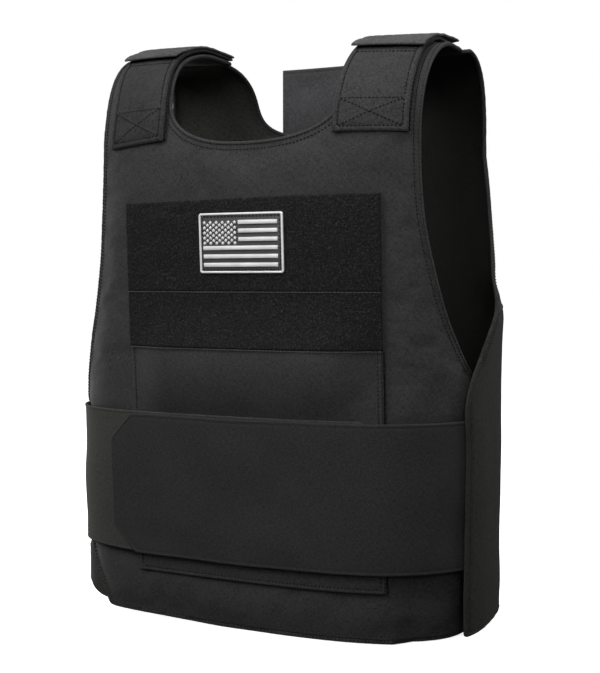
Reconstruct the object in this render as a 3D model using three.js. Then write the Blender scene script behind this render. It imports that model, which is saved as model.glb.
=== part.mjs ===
// Soft black vest standing on its hem: padded front and back, shoulder straps, waist bands.
// Millimetres, +Z up. The front faces -Y, and the wearer's left is +X.
import * as THREE from "three";

const DEGREE = Math.PI / 180;

// Body form that every layer lies on: its plan is a superellipse, its shoulders are half ellipses
const FORM = {
  middle: 2,
  leftWaist: 182.5, // from the middle to the wearer's left side
  leftChest: 185.5,
  rightWaist: 199, // to the right side, which flares from the chest down to the waist
  rightChest: 181,
  flare: [215, 365],
  cinch: { depth: 3.2, rise: [120, 165], fall: [186, 204] }, // the bands draw the right side in
  chestDepth: 118,
  frontHemDepth: 97,
  backHemDepth: 108,
  taperTop: 360, // below this height the depth runs down to the hem's
  leftPower: 2.7, // exponents of the plan
  rightPower: 4.0,
  backPower: 3.0,
  shoulderBase: 427, // height where the shoulders start to bend back
  shoulderRise: 96,
  crestLift: 0.8,
  crestSlant: -0.034, // change of the crest for each millimetre towards the wearer's left
  backArchPower: 3.4, // the shoulders are fuller behind than in front
  rightLean: 16, // the right shoulder's top stands this much further out than its foot
  leanTilts: [-80, -25],
};

// Layers over the form's surface, each from its inner face to its outer face
const LAYER = {
  pad: [-9, 0],
  padEdge: [-5.5, -1.5],
  pocket: [1.0, 3.8],
  loopField: [4.2, 5.7],
  patch: [6.1, 8.6],
  bandUnder: [4.9, 6.6],
  bandOuter: [7.7, 9.5],
  bandSide: [1.2, 3.0], // either band where no pocket lies under it
  rightWing: [-13.4, -10.4], // inside the front panel
  rightWingHem: [-0.6, 2.2], // below the bands, where it springs out past the front panel's edge
  leftWing: [4.4, 7.2], // outside the waist band
  strap: [0.8, 3.2],
  flap: [3.7, 5.7],
};

const CENTRE = { x: 1.4, y: 4.3 }; // moves the form so that the vest's extents are centred on the origin
const FRONT_X = 9; // middle line of what is sewn on the front
const POCKET = { halfWidth: 117.5, low: 45.5, high: 376 };
const FIELD = { split: 299, low: 251, gap: 0.6 };
const PATCH = { width: 79, height: 51, middle: 340.7, corner: 3 };
const BAND = {
  low: 62,
  high: 190,
  end: -132,
  underEnd: 110,
  corner: 24,
  sideTurn: 97,
  farTurn: 138,
  settle: [50, 74],
};
const STRAP = { middle: 108, halfWidth: 29, frontTilt: -88, backTilt: 9 };
const FLAP = { halfWidth: 30, frontTilt: -37, backTilt: 13, lift: 2.5 };
const FRONT_NECK = { shift: 4, halfWidth: 80, depth: 42, power: 2.4, endTilt: 6 };
const BACK_NECK = { shift: -4, halfWidth: 88, low: 31, depth: 40, power: 3.4, endTilt: 7.4 };
const NECK_FLAP = { halfWidth: 71, low: 449, high: 529.5, gap: 0.1, thickness: 2.4 };

// Half-widths of the front panel to the wearer's two sides, from the hem up to the shoulder base
const FRONT_EDGE = [
  { height: 0, right: 162, left: 162 },
  { height: 14, right: 170, left: 171.5 },
  { height: 46, right: 187, left: 175 },
  { height: 90, right: 195, left: 176 },
  { height: 135, right: 197, left: 176 },
  { height: 185, right: 196, left: 176 },
  { height: 205, right: 193, left: 176 },
  { height: 226, right: 188, left: 175 },
  { height: 250, right: 182, left: 170.5 },
  { height: 280, right: 174, left: 163.5 },
  { height: 320, right: 166, left: 156 },
  { height: 360, right: 161, left: 150 },
  { height: 395, right: 158, left: 147.5 },
  { height: 427, right: 156, left: 147 },
];

// Turns of the back panel's two edges from the middle of the back, in degrees
const BACK_EDGE = [
  { height: 0, right: 117, left: 103.5 },
  { height: 30, right: 113.5, left: 104 },
  { height: 75, right: 107, left: 104.7 },
  { height: 120, right: 106, left: 105.4 },
  { height: 165, right: 104, left: 106.1 },
  { height: 215, right: 98, left: 107 },
  { height: 232, right: 94, left: 102 },
  { height: 250, right: 90, left: 96.5 },
  { height: 267, right: 86, left: 91 },
  { height: 284, right: 82, left: 84 },
  { height: 302, right: 78.5, left: 77 },
  { height: 325, right: 76.5, left: 72.5 },
  { height: 360, right: 74.5, left: 68 },
  { height: 395, right: 73, left: 65.5 },
  { height: 427, right: 72, left: 63 },
];
const BACK_TOP = { right: 66, left: 63 }; // the same turns on top of the shoulders
const WING = { turns: [54, 73], heights: [272, 318], tuck: [48, 80] }; // where the side wings step out
// The side wings end above the floor, higher at the side than at their front edge
const WING_HEM = {
  turns: [76, 94],
  fade: 60,
  left: { side: 6.5, edge: 3, turns: [92, 103] },
  right: { side: 26, edge: 9, turns: [104, 114] },
};

function smooth(low, high, value) {
  return THREE.MathUtils.smoothstep(value, low, high);
}

// Sizes of the plan at a height, on the front or the back and on either side of the middle
function planSizes(height, front, side) {
  const hemDepth = front ? FORM.frontHemDepth : FORM.backHemDepth;
  const up = Math.min(height / FORM.taperTop, 1);
  const flare = smooth(...FORM.flare, height);
  const { depth, rise, fall } = FORM.cinch;
  const cinch = depth * smooth(...rise, height) * (1 - smooth(...fall, height));
  const rightWidth = THREE.MathUtils.lerp(FORM.rightWaist, FORM.rightChest, flare) - cinch;
  const leftWidth = THREE.MathUtils.lerp(FORM.leftWaist, FORM.leftChest, flare);
  const frontPower = side < 0 ? FORM.rightPower : FORM.leftPower;
  return {
    width: side < 0 ? rightWidth : leftWidth,
    depth: THREE.MathUtils.lerp(hemDepth, FORM.chestDepth, up),
    power: front ? frontPower : FORM.backPower,
  };
}

// Depth of the plan, on the front or the back, at a place across it
function planDepth(x, height, front) {
  const across = x - FORM.middle;
  const { width, depth, power } = planSizes(height, front, across);
  const share = Math.min(Math.abs(across) / width, 1);
  return depth * (1 - share ** power) ** (1 / power);
}

// Turn in degrees of the front point at x, seen from the plan's middle
function frontTurn(x, height) {
  return Math.atan2(x - FORM.middle, planDepth(x, height, true)) / DEGREE;
}

// Turn of the back point at x, by the way round that passes the wearer's left
function backTurn(x, height) {
  return 180 - Math.atan2(x - FORM.middle, planDepth(x, height, false)) / DEGREE;
}

// Point and outward direction of the plan at a turn from the front's middle
function planPoint(turn, height) {
  const sine = Math.sin(turn * DEGREE);
  const cosine = Math.cos(turn * DEGREE);
  const { width, depth, power } = planSizes(height, cosine > 0, sine);
  const wide = Math.abs(sine) / width;
  const deep = Math.abs(cosine) / depth;
  const reach = (wide ** power + deep ** power) ** (-1 / power);
  const normal = new THREE.Vector2(
    (Math.sign(sine) * wide ** (power - 1)) / width,
    (-Math.sign(cosine) * deep ** (power - 1)) / depth,
  ).normalize();
  return { x: FORM.middle + reach * sine, y: -reach * cosine, normal };
}

// Point of the body wall at a turn and height, moved out along the plan's normal
function wallPoint(turn, height, out) {
  const { x, y, normal } = planPoint(turn, height);
  return new THREE.Vector3(x + normal.x * out, y + normal.y * out, height);
}

// Point of the shoulder arch: tilt runs from -90 at its front foot over 0 on top to 90 behind
function archPoint(turn, tilt, out) {
  const base = planPoint(turn, FORM.shoulderBase);
  const onFront = tilt < 0;
  const foot = planDepth(base.x, FORM.shoulderBase, onFront) * (onFront ? -1 : 1);
  const crest = FORM.shoulderRise + FORM.crestLift + FORM.crestSlant * (base.x - FRONT_X);
  const power = onFront ? 2 : FORM.backArchPower;
  const lean = Math.abs(Math.sin(tilt * DEGREE));
  const rise = Math.cos(tilt * DEGREE);
  const normal = new THREE.Vector3(
    crest * base.normal.x * lean ** 2,
    Math.sign(foot) * Math.abs(base.normal.y) * crest * lean ** (2 - 2 / power),
    Math.abs(base.normal.y * foot) * rise ** (2 - 2 / power),
  ).normalize();
  const point = new THREE.Vector3(
    base.x,
    foot * lean ** (2 / power),
    FORM.shoulderBase + crest * rise ** (2 / power),
  );
  return point.addScaledVector(normal, out);
}

// Tilt of the arch, on the front or the back, at a height above the shoulder base
function tiltAt(height, front) {
  const power = front ? 2 : FORM.backArchPower;
  return (front ? -1 : 1) * Math.acos((height / FORM.shoulderRise) ** (power / 2)) / DEGREE;
}

// Turn of a place on the front's shoulder, which leans out towards its top on the wearer's right
function shoulderTurn(x, tilt) {
  const lean = x < FRONT_X ? FORM.rightLean * smooth(...FORM.leanTilts, tilt) : 0;
  return frontTurn(x - lean, FORM.shoulderBase);
}

// Closed body from quads over pairs of outer and inner points, with a wall along every free edge
function closedSheet(pairs, quads) {
  const positions = [];
  for (const pair of pairs) positions.push(...pair.outer.toArray());
  for (const pair of pairs) positions.push(...pair.inner.toArray());
  const index = [];
  const quadFaces = (a, b, c, d) => index.push(a, b, c, a, c, d);
  const edges = new Set();
  for (const quad of quads) {
    quad.forEach((corner, i) => edges.add(`${corner},${quad[(i + 1) % 4]}`));
  }
  for (const [a, b, c, d] of quads) {
    const under = pairs.length;
    quadFaces(a, b, c, d);
    quadFaces(d + under, c + under, b + under, a + under);
  }
  for (const edge of edges) {
    const [a, b] = edge.split(",").map(Number);
    if (!edges.has(`${b},${a}`)) quadFaces(b, a, a + pairs.length, b + pairs.length);
  }
  const geometry = new THREE.BufferGeometry();
  geometry.setAttribute("position", new THREE.Float32BufferAttribute(positions, 3));
  geometry.setIndex(index);
  geometry.computeVertexNormals();
  return geometry;
}

// Quads between neighbouring rows of point numbers; each row runs towards the viewer's right
function quadsBetween(rows) {
  const quads = [];
  for (let r = 0; r + 1 < rows.length; r += 1) {
    for (let c = 0; c + 1 < rows[r].length; c += 1) {
      quads.push([rows[r][c], rows[r][c + 1], rows[r + 1][c + 1], rows[r + 1][c]]);
    }
  }
  return quads;
}

// Turns spread evenly from one edge to the other, with the middle column at the given turn
function spread(from, middle, to, half) {
  return Array.from({ length: 2 * half + 1 }, (_, i) => {
    const share = i / half;
    if (share <= 1) return THREE.MathUtils.lerp(from, middle, share);
    return THREE.MathUtils.lerp(middle, to, share - 1);
  });
}

// Rows of the shoulder wings: how far the neckline has opened, and the tilt of the arch there
function wingRows(neck, front, neckSteps, archSteps) {
  const rows = [];
  for (let k = 1; k <= neckSteps; k += 1) {
    const opening = Math.sin((k / neckSteps) * 90 * DEGREE);
    const drop = 1 - (1 - opening ** neck.power) ** (1 / neck.power);
    const height = (neck.low ?? 0) + neck.depth * drop;
    rows.push({ opening, tilt: tiltAt(height, front) });
  }
  const start = rows[neckSteps - 1].tilt;
  for (let k = 1; k <= archSteps; k += 1) {
    rows.push({ opening: 1, tilt: THREE.MathUtils.lerp(start, neck.endTilt, k / archSteps) });
  }
  return rows;
}

// Padded panel: body rows up to the neckline, then a row of points for each wing on either side
function paddedPanel(body, wings, place, offsets) {
  const pairs = [];
  const half = (body[0].turns.length - 1) / 2;
  const addRow = (row, turns, edgeAt) => turns.map((turn, i) => {
    const [inner, outer] = offsets(row, turn, edgeAt(i));
    pairs.push({ outer: place(row, turn, outer), inner: place(row, turn, inner) });
    return pairs.length - 1;
  });
  const bodyRows = body.map((row, r) => addRow(row, row.turns, (i) => (
    r === 0 || i === 0 || i === 2 * half || (r === body.length - 1 && i === half)
  )));
  const last = bodyRows[bodyRows.length - 1];
  const sides = [[last.slice(0, half + 1)], [last.slice(half)]];
  wings.forEach((row, r) => {
    const top = r === wings.length - 1;
    row.turns.forEach((turns, s) => {
      sides[s].push(addRow(row, turns, (i) => top || i === 0 || i === half));
    });
  });
  return closedSheet(pairs, [bodyRows, ...sides].flatMap(quadsBetween));
}

function frontPanel() {
  const half = 10;
  const body = FRONT_EDGE.map(({ height, right, left }) => {
    const ends = [FRONT_X - right, FRONT_X, FRONT_X + left].map((x) => frontTurn(x, height));
    return { height, turns: spread(...ends, half) };
  });
  const { right, left } = FRONT_EDGE[FRONT_EDGE.length - 1];
  const wings = wingRows(FRONT_NECK, true, 8, 7).map(({ opening, tilt }) => {
    const neck = [-1, 1].map((side) => opening * (FRONT_NECK.shift + side * FRONT_NECK.halfWidth));
    const sides = [[-right, neck[0]], [neck[1], left]];
    const turns = sides.map((side) => {
      const [from, to] = side.map((across) => shoulderTurn(FRONT_X + across, tilt));
      return spread(from, (from + to) / 2, to, half / 2);
    });
    return { tilt, turns };
  });
  const place = (row, turn, out) => (
    row.tilt === undefined ? wallPoint(turn, row.height, out) : archPoint(turn, row.tilt, out)
  );
  return paddedPanel(body, wings, place, (row, turn, atEdge) => (atEdge ? LAYER.padEdge : LAYER.pad));
}

// How far the hem of a side wing stands above the floor
function hemLift(turn, height) {
  const away = Math.abs(turn);
  const { side, edge, turns } = turn < 0 ? WING_HEM.left : WING_HEM.right;
  const lift = THREE.MathUtils.lerp(side, edge, smooth(...turns, away));
  return lift * smooth(...WING_HEM.turns, away) * Math.max(1 - height / WING_HEM.fade, 0);
}

// Layer of a side wing; the right one tucks in behind the front panel above its hem
function wingLayer(turn, height) {
  if (turn < 0) return LAYER.leftWing;
  const tuck = smooth(...WING.tuck, height);
  return LAYER.rightWingHem.map((value, i) => THREE.MathUtils.lerp(value, LAYER.rightWing[i], tuck));
}

// The back's turns are taken from the middle of the back, growing towards the wearer's right
function backPanel() {
  const half = 14;
  const body = BACK_EDGE.map(({ height, right, left }) => {
    const turns = spread(-left, 0, right, half);
    return { height, turns };
  });
  const straightTilt = tiltAt(BACK_NECK.low, false);
  const base = BACK_EDGE[BACK_EDGE.length - 1];
  const edgesAt = (tilt) => [
    -THREE.MathUtils.lerp(BACK_TOP.left, base.left, tilt / 90),
    THREE.MathUtils.lerp(BACK_TOP.right, base.right, tilt / 90),
  ];
  for (const share of [0.5, 1]) {
    const tilt = THREE.MathUtils.lerp(90, straightTilt, share);
    const [low, high] = edgesAt(tilt);
    body.push({ tilt, turns: spread(low, 0, high, half) });
  }
  const wings = wingRows(BACK_NECK, false, 6, 6).map(({ opening, tilt }) => {
    const neck = [1, -1].map((side) => {
      const across = opening * (BACK_NECK.shift + side * BACK_NECK.halfWidth);
      return backTurn(FORM.middle + across, FORM.shoulderBase) - 180;
    });
    const [low, high] = edgesAt(tilt);
    const sides = [[low, neck[0]], [neck[1], high]];
    return { tilt, turns: sides.map(([from, to]) => spread(from, (from + to) / 2, to, half / 2)) };
  });
  const place = (row, turn, out) => {
    const around = 180 + turn;
    if (row.tilt !== undefined) return archPoint(around, row.tilt, out);
    const point = wallPoint(around, row.height, out);
    return point.setZ(row.height + hemLift(turn, row.height));
  };
  const offsets = (row, turn, atEdge) => {
    const pad = atEdge ? LAYER.padEdge : LAYER.pad;
    const height = row.height ?? FORM.shoulderBase;
    const wing = wingLayer(turn, height);
    const stepOut = smooth(...WING.turns, Math.abs(turn)) * (1 - smooth(...WING.heights, height));
    return pad.map((value, i) => THREE.MathUtils.lerp(value, wing[i], stepOut));
  };
  return paddedPanel(body, wings, place, offsets);
}

// Piece laid on the body wall: a row holds its height and the turns of its two ends
function wallSheet(rows, columns, layerAt) {
  const pairs = [];
  const numbers = rows.map(({ height, from, to }) => Array.from({ length: columns + 1 }, (_, i) => {
    const turn = THREE.MathUtils.lerp(from, to, i / columns);
    const [inner, outer] = layerAt(turn);
    pairs.push({ outer: wallPoint(turn, height, outer), inner: wallPoint(turn, height, inner) });
    return pairs.length - 1;
  }));
  return closedSheet(pairs, quadsBetween(numbers));
}

// Row of a piece on the front: its height and the turns of its two ends
function frontRow(height, halfWidth) {
  const [from, to] = [-halfWidth, halfWidth].map((across) => frontTurn(FRONT_X + across, height));
  return { height, from, to };
}

// Rows of an upright rectangle on the front, between two heights
function frontRows(low, high, halfWidth, steps) {
  return Array.from({ length: steps + 1 }, (_, i) => (
    frontRow(THREE.MathUtils.lerp(low, high, i / steps), halfWidth)
  ));
}

function flagPatch() {
  const { width, height, middle, corner } = PATCH;
  const half = [90, 60, 30, 0].map((angle) => ({
    rise: height / 2 - corner + corner * Math.sin(angle * DEGREE),
    halfWidth: width / 2 - corner + corner * Math.cos(angle * DEGREE),
  }));
  const lower = half.map(({ rise, halfWidth }) => frontRow(middle - rise, halfWidth));
  const upper = half.map(({ rise, halfWidth }) => frontRow(middle + rise, halfWidth));
  return wallSheet([...lower, ...upper.reverse()], 6, () => LAYER.patch);
}

// A band's layer, which comes down on the panel past the pocket
function settled(layer, turn) {
  const share = smooth(...BAND.settle, Math.abs(turn));
  return layer.map((value, i) => THREE.MathUtils.lerp(value, LAYER.bandSide[i], share));
}

// The outer band's free end has cut corners; its other end lies under the back's side wing
function outerBand() {
  const { low, high, corner, end, sideTurn } = BAND;
  const rows = [
    { height: low, x: end + corner },
    { height: low + corner, x: end },
    { height: (low + high) / 2, x: end },
    { height: high - corner, x: end },
    { height: high, x: end + corner },
  ];
  const turns = rows.map(({ height, x }) => ({ height, from: frontTurn(x, height), to: sideTurn }));
  return wallSheet(turns, 36, (turn) => settled(LAYER.bandOuter, turn));
}

function underBand() {
  const heights = [BAND.low, (BAND.low + BAND.high) / 2, BAND.high];
  const rows = heights.map((height) => {
    const to = frontTurn(BAND.underEnd, height);
    return { height, from: -BAND.farTurn, to };
  });
  const layerAt = (turn) => (turn < 0 ? settled(LAYER.bandUnder, turn) : LAYER.bandUnder);
  return wallSheet(rows, 36, layerAt);
}

// Strip carried over a shoulder, between two distances from the middle line; lift raises its front end
function shoulderStrip(side, halfWidth, tilts, steps, [inner, outer], lift) {
  const pairs = [];
  const columns = 4;
  const rows = Array.from({ length: steps + 1 }, (_, r) => {
    const tilt = THREE.MathUtils.lerp(tilts[0], tilts[1], r / steps);
    const raise = lift * (1 - smooth(0, 0.3, r / steps));
    return Array.from({ length: columns + 1 }, (__, c) => {
      const across = side * STRAP.middle + halfWidth * ((2 * c) / columns - 1);
      const turn = shoulderTurn(FRONT_X + across, tilt);
      const [under, over] = [inner, outer].map((out) => archPoint(turn, tilt, out + raise));
      pairs.push({ outer: over, inner: under });
      return pairs.length - 1;
    });
  });
  return closedSheet(pairs, quadsBetween(rows));
}

// Upright flap behind the neckline, bent to the back's plan
function neckFlap() {
  const pairs = [];
  const columns = 8;
  const { halfWidth, low, high, gap, thickness } = NECK_FLAP;
  const foot = tiltAt(low - FORM.shoulderBase, false);
  const rows = [low, (low + high) / 2, high].map((height) => Array.from({ length: columns + 1 }, (_, c) => {
    const across = halfWidth * (1 - (2 * c) / columns);
    const turn = backTurn(FORM.middle + across, FORM.shoulderBase);
    const inner = archPoint(turn, foot, gap).setZ(height);
    pairs.push({ inner, outer: inner.clone().setY(inner.y + thickness) });
    return pairs.length - 1;
  }));
  return closedSheet(pairs, quadsBetween(rows));
}

const CLOTH = { color: 0x38393b, roughness: 0.92 };
const LOOP = { color: 0x1b1c1d, roughness: 1.0 };
const BAND_CLOTH = { color: 0x2a2b2c, roughness: 0.95 };
const RUBBER = { color: 0x4a4b4d, roughness: 0.6 };

const vest = new THREE.Group();
function add(name, geometry, finish) {
  const mesh = new THREE.Mesh(geometry, new THREE.MeshStandardMaterial({ metalness: 0, ...finish }));
  mesh.name = name;
  vest.add(mesh);
}

const { low: pocketLow, high: pocketHigh, halfWidth: pocketHalf } = POCKET;
const pocket = frontRows(pocketLow, pocketHigh, pocketHalf, 8);
const upperField = frontRows(FIELD.split + FIELD.gap, pocketHigh, pocketHalf, 3);
const lowerField = frontRows(FIELD.low, FIELD.split, pocketHalf, 2);
add("front_panel", frontPanel(), CLOTH);
add("back_panel", backPanel(), CLOTH);
add("front_pocket", wallSheet(pocket, 16, () => LAYER.pocket), CLOTH);
add("loop_field_upper", wallSheet(upperField, 16, () => LAYER.loopField), LOOP);
add("loop_field_lower", wallSheet(lowerField, 16, () => LAYER.loopField), LOOP);
add("flag_patch", flagPatch(), RUBBER);
add("waist_band_outer", outerBand(), BAND_CLOTH);
add("waist_band_under", underBand(), BAND_CLOTH);
for (const [name, side] of [["left", 1], ["right", -1]]) {
  const strapTilts = [STRAP.frontTilt, STRAP.backTilt];
  const flapTilts = [FLAP.frontTilt, FLAP.backTilt];
  const strap = shoulderStrip(side, STRAP.halfWidth, strapTilts, 14, LAYER.strap, 0);
  const flap = shoulderStrip(side, FLAP.halfWidth, flapTilts, 10, LAYER.flap, FLAP.lift);
  add(`shoulder_strap_${name}`, strap, CLOTH);
  add(`shoulder_flap_${name}`, flap, LOOP);
}
add("neck_flap", neckFlap(), CLOTH);
vest.position.set(CENTRE.x, CENTRE.y, 0);

export default vest;
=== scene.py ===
"""Soft black vest standing on its hem: padded panels, shoulder straps, waist bands, loop fields and a patch.

Lengths are millimetres in the form's own frame until a mesh is made, and metres in the meshes.
The front faces -Y, and the wearer's left is +X.
"""

import math

import bpy
import numpy as np
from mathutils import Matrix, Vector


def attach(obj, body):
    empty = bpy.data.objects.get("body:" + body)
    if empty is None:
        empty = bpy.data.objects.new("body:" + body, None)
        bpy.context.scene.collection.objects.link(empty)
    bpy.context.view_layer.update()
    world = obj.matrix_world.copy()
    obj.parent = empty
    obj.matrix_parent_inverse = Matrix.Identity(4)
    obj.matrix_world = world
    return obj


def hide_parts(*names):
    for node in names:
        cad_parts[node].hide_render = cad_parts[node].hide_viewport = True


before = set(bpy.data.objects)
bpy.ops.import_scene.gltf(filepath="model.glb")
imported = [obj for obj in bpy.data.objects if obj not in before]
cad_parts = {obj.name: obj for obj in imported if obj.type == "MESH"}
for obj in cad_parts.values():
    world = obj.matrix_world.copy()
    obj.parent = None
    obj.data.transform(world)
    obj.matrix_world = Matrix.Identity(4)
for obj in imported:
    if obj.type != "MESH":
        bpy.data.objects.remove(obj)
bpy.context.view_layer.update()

MM = 0.001
CENTRE = np.array([1.4, 4.3, 0.0])  # the form's place in the shared frame

# Body form that every layer lies on: a superellipse plan and half-ellipse shoulders
MIDDLE, FLARE = 2.0, (215.0, 365.0)
LEFT_WAIST, LEFT_CHEST = 182.5, 185.5
RIGHT_WAIST, RIGHT_CHEST = 199.0, 181.0
CINCH, CINCH_RISE, CINCH_FALL = 3.2, (120.0, 165.0), (186.0, 204.0)  # the band draws the right side in
CHEST_DEPTH, FRONT_HEM_DEPTH, BACK_HEM_DEPTH, TAPER_TOP = 118.0, 97.0, 108.0, 360.0
LEFT_POWER, RIGHT_POWER, BACK_POWER = 2.7, 4.0, 3.0
BASE, RISE = 427.0, 96.0
SLANT = -0.034  # the shoulders' rise changes by this for each millimetre towards the wearer's left
CREST_LIFT = 0.8
BACK_ARCH_POWER = 3.4
RIGHT_LEAN, LEAN_TILTS = 16.0, (-80.0, -25.0)
CLIMB = 1.7  # millimetres of the shoulder's arc to a degree of tilt
FRONT_X = 9.0

# Half-widths of the front panel to the wearer's right and left, by height
FRONT_EDGE = np.array([
    (0, 162, 176), (14, 170, 176), (46, 187, 176), (90, 195, 176), (135, 197, 176), (185, 196, 176),
    (205, 193, 176), (226, 188, 175), (250, 182, 170.5), (280, 174, 163.5), (320, 166, 156),
    (360, 161, 150), (395, 158, 147.5), (427, 156, 147),
], float)

# Turns in degrees from the middle of the back to the back panel's right and left edges, by height
BACK_EDGE = np.array([
    (0, 120, 103.7), (30, 119, 104), (75, 110, 104), (120, 106, 104), (165, 104, 104), (215, 98, 103.7),
    (232, 94, 101), (250, 90, 96.5), (267, 86, 91), (284, 82, 84), (302, 78.5, 77), (325, 76.5, 72.5),
    (360, 74.5, 68), (395, 73, 65.5), (427, 72, 63),
], float)
BACK_TOP = (66.0, 63.0)  # the same turns on top of the shoulders

FRONT_NECK = {"shift": 4.0, "half": 80.0, "low": 0.0, "depth": 42.0, "power": 2.4, "end": 6.9, "arch": 2.0}
BACK_NECK = {
    "shift": -4.0, "half": 88.0, "low": 31.0, "depth": 40.0, "power": 3.4, "end": 7.4,
    "arch": BACK_ARCH_POWER,
}
POCKET = {"half": 117.5, "low": 45.5, "high": 376.0}
FIELD = {"split": 299.0, "low": 251.0}
PATCH = {"width": 79.0, "height": 51.0, "middle": 340.7}
BAND = {
    "low": 62.0, "high": 190.0, "end": -132.0, "under_end": 110.0, "corner": 24.0, "side": 97.0,
    "far": -138.0,
}
STRAP = {"middle": 108.0, "half": 29.0, "front": -88.0, "back": 9.0, "skew": 4.5}
FLAP = {"half": 30.0, "front": -37.0, "back": (9.5, 13.0), "lift": 2.5, "corner": 5.0}
NECK_FLAP = {"half": 71.0, "low": 449.0, "high": 529.5}

# Rows of a panel's grid below, beside and above the neckline, columns to either side, and the edge's knee
FRONT_GRID = {"rows": (112, 30, 34), "half": 44, "knee": 335.0}
BACK_GRID = {"rows": (122, 22, 30), "half": 52, "knee": 360.0}
WING_COLUMN, WING_ROW = 31, 94  # where the wings are sewn on, counted on the back's grid
WING_TOP = 238.0  # climb above which the wings' edges are stitched

# Offsets from the body form, with those inside it below zero
PAD_RIM, PAD_FULL = (-4.7, -2.3), (-9.0, 0.0)  # the padding's two faces at its rim and in its middle
PAD_FADE = (3.0, 30.0)  # distances from the edge between which the padding fills out
RIM_MIDDLE, RIM_HALF, WING_HALF = -3.5, 1.75, 1.65  # middle and half-thickness of the bound edges
POCKET_LAYER, FIELD_LAYER, PATCH_FOOT = 2.4, 4.4, 6.1
UNDER_LAYER, OUTER_LAYER, SIDE_LAYER = 5.75, 8.6, 2.1  # the bands on the pocket, and at the sides
STRAP_LAYER, FLAP_LAYER = 2.0, 4.7

BINDING, INSET = 3.8, 2.2  # width of the bound edges, and how far the padding stays inside them
BINDING_SIDES, BINDING_STEP = 16, 2.0
PINNED_EDGE = 8.5  # the cloth is held to this distance from the panels' edges
SLACK = 0.009  # share by which the panels' cloth is larger than its place
SETTLE_FRAMES, SETTLE_PRESSURE = 20, 4.0
FRONT_SETTLE, BACK_SETTLE = 2.5, 3.0  # how far the panels' cloth may move
AMBIENT = (0.05, 0.35)  # light from all round, from below and from above
FOCAL, PICTURE_HEIGHT, SENSOR = 1160.0, 673.0, 36.0  # the first two in pixels, the sensor in millimetres


def ramp(low, high, value):
    """Smooth step: 0 below low, 1 above high, and 3t^2 - 2t^3 of the share t between."""
    share = np.clip((np.asarray(value, float) - low) / (high - low), 0, 1)
    return share * share * (3 - 2 * share)


def blend(a, b, share):
    """Straight mix of two values: a at share 0 and b at share 1."""
    return a + (b - a) * share


def curve(table, column, place):
    """Smooth line through a table's rows: cubic Hermite pieces with each slope taken over two neighbours."""
    at, value = table[:, 0], table[:, column]
    slope = np.gradient(value, at)
    place = np.clip(place, at[0], at[-1])
    i = np.clip(np.searchsorted(at, place, side="right") - 1, 0, len(at) - 2)
    width = at[i + 1] - at[i]
    t = (place - at[i]) / width
    return ((1 + 2 * t) * (1 - t) ** 2 * value[i] + t * (1 - t) ** 2 * width * slope[i]
            + t * t * (3 - 2 * t) * value[i + 1] + t * t * (t - 1) * width * slope[i + 1])


def plan_sizes(height, front, side):
    """Half-width, half-depth and exponent of the plan at a height, on the front or back and either side."""
    flare = ramp(*FLARE, height)
    cinch = CINCH * ramp(*CINCH_RISE, height) * (1 - ramp(*CINCH_FALL, height))
    right, left = blend(RIGHT_WAIST, RIGHT_CHEST, flare) - cinch, blend(LEFT_WAIST, LEFT_CHEST, flare)
    hem = np.where(front, FRONT_HEM_DEPTH, BACK_HEM_DEPTH)
    depth = blend(hem, CHEST_DEPTH, np.minimum(np.asarray(height) / TAPER_TOP, 1))
    front_power = np.where(side < 0, RIGHT_POWER, LEFT_POWER)
    return np.where(side < 0, right, left), depth, np.where(front, front_power, BACK_POWER)


def plan_depth(x, height, front):
    """Depth of the plan at x: d (1 - |x / w|^p)^(1 / p)."""
    across = x - MIDDLE
    width, depth, power = plan_sizes(height, front, across)
    return depth * (1 - np.minimum(np.abs(across) / width, 1) ** power) ** (1 / power)


def front_turn(x, height):
    """Turn of the front point at x, seen from the plan's middle."""
    return np.degrees(np.arctan2(x - MIDDLE, plan_depth(x, height, True)))


def back_turn(x, height):
    """Turn of the back point at x, by the way round past the wearer's left."""
    return 180 - np.degrees(np.arctan2(x - MIDDLE, plan_depth(x, height, False)))


def plan_point(turn, height):
    """Place and outward direction of the plan at a turn.

    The plan is the superellipse |x / w|^p + |y / d|^p = 1 in polar form.
    """
    sine, cosine = np.sin(np.radians(turn)), np.cos(np.radians(turn))
    width, depth, power = plan_sizes(height, cosine > 0, sine)
    wide, deep = np.abs(sine) / width, np.abs(cosine) / depth
    reach = (wide ** power + deep ** power) ** (-1 / power)
    nx = np.sign(sine) * wide ** (power - 1) / width
    ny = -np.sign(cosine) * deep ** (power - 1) / depth
    long = np.hypot(nx, ny)
    return MIDDLE + reach * sine, -reach * cosine, nx / long, ny / long


def triple(x, y, z):
    """Points from three arrays of coordinates."""
    return np.stack(np.broadcast_arrays(x, y, z), axis=-1).astype(float)


def wall(turn, height, out):
    """Point of the body wall: the plan's point at that height, moved out along the plan's normal."""
    x, y, nx, ny = plan_point(turn, height)
    return triple(x + nx * out, y + ny * out, height)


def arch(turn, tilt, out):
    """Point of a shoulder: a half superellipse from the plan's foot to the crest, moved out by its normal."""
    x, _, nx, ny = plan_point(turn, BASE)
    front = np.asarray(tilt) < 0
    foot = plan_depth(x, BASE, front) * np.where(front, -1.0, 1.0)
    crest = RISE + CREST_LIFT + SLANT * (x - FRONT_X)
    power = np.where(front, 2.0, BACK_ARCH_POWER)
    sine, cosine = np.abs(np.sin(np.radians(tilt))), np.cos(np.radians(tilt))
    lean, rise = sine ** (2 - 2 / power), cosine ** (2 - 2 / power)
    towards = np.sign(foot) * np.abs(ny) * crest * lean
    normal = triple(crest * nx * sine ** 2, towards, np.abs(ny * foot) * rise)
    normal /= np.linalg.norm(normal, axis=-1, keepdims=True)
    place = triple(x, foot * sine ** (2 / power), BASE + crest * cosine ** (2 / power))
    return place + normal * np.asarray(out, float)[..., None]


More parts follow.
